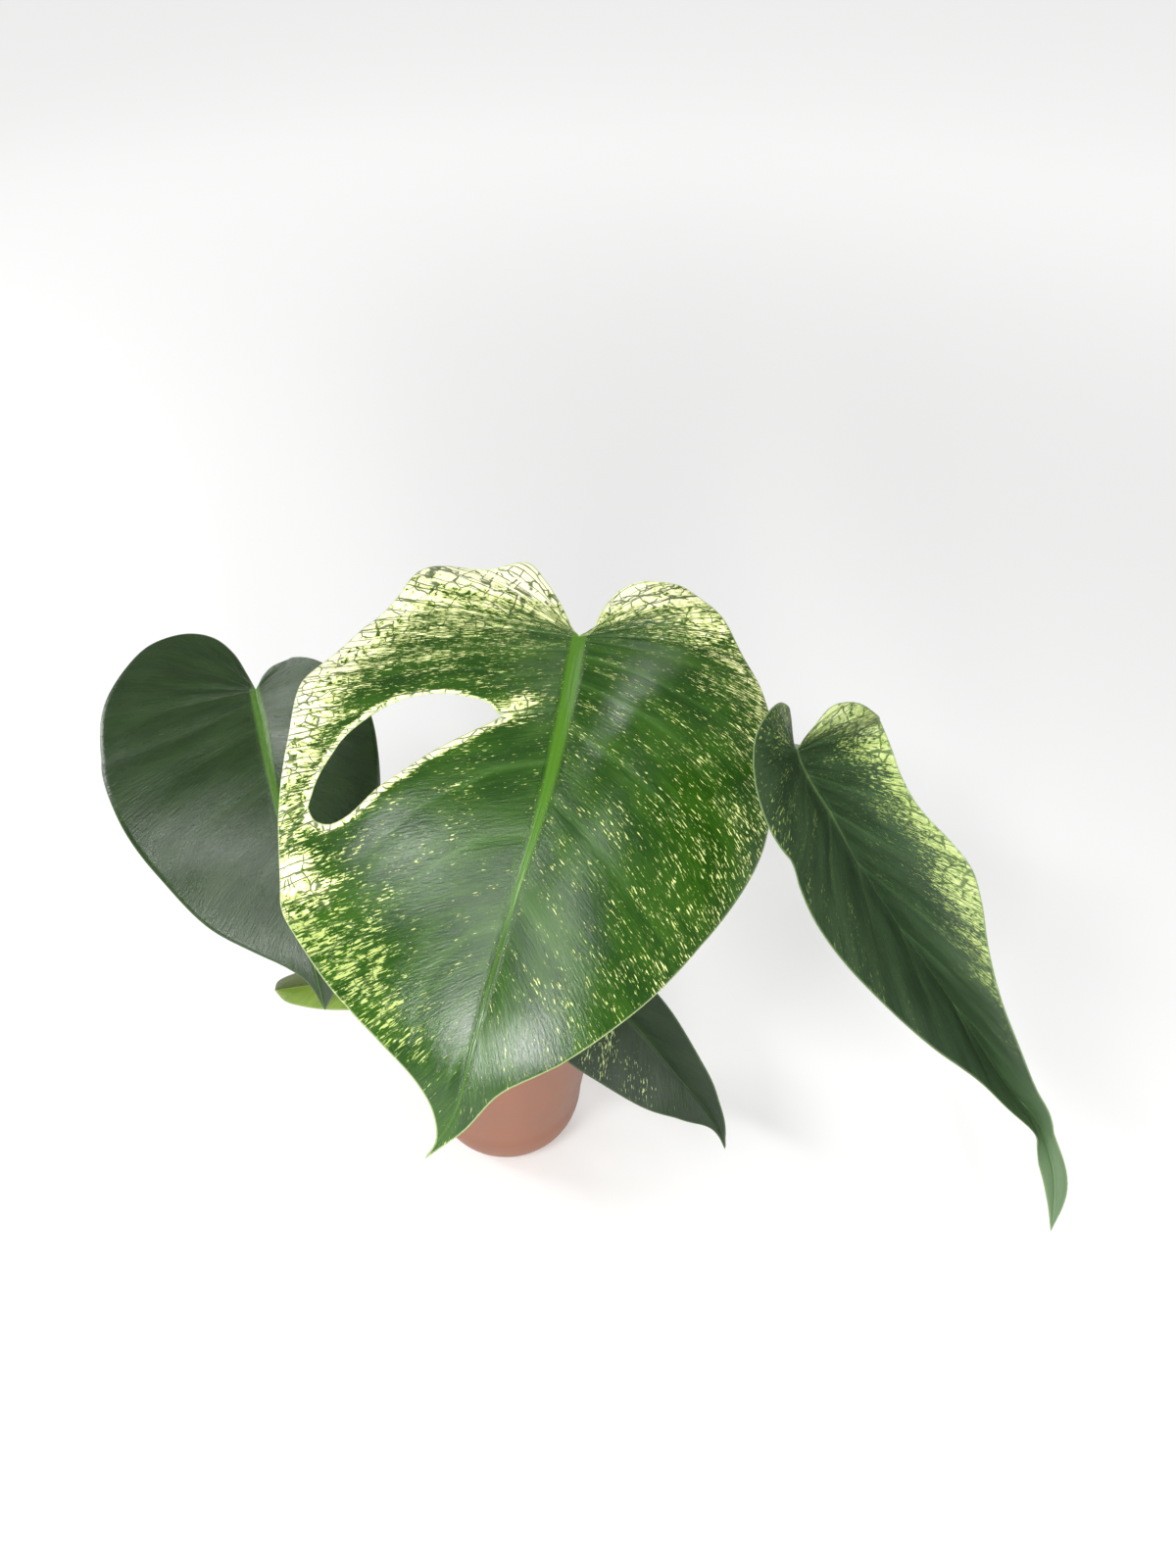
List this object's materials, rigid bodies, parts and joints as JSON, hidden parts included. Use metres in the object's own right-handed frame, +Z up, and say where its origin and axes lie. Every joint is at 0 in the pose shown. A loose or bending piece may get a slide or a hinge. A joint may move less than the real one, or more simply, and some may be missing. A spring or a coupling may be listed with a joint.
{
  "type": "potted variegated monstera plant",
  "caption": "Young climbing aroid house plant with broad variegated leaves, one with a single long hole, on arching stalks in a plain round-footed terracotta-coloured pot.",
  "frame": {"origin": "centre of the pot's flat foot, on the surface that it stands on", "axes": "+Z up out of the pot, -Y the front that the largest leaf faces, +X the viewer's right from the front"},
  "size_m": [0.4797, 0.2537, 0.3676],
  "materials": {
    "terracotta": "satin",
    "potting_mix": "matte",
    "stem": "satin",
    "stalk": "satin",
    "blade_variegated": "gloss",
    "blade_dark": "gloss",
    "blade_young": "gloss"
  },
  "bodies": {
    "root": {"pot": "terracotta", "potting_mix": "potting_mix", "stem": "stem", "petiole_main": "stalk", "petiole_left": "stalk", "petiole_right": "stalk", "petiole_lower": "stalk", "petiole_young": "stalk", "leaf_main": "blade_variegated", "leaf_left": "blade_dark", "leaf_right": "blade_variegated", "leaf_lower": "blade_dark", "leaf_young": "blade_young"}
  },
  "joints": []
}
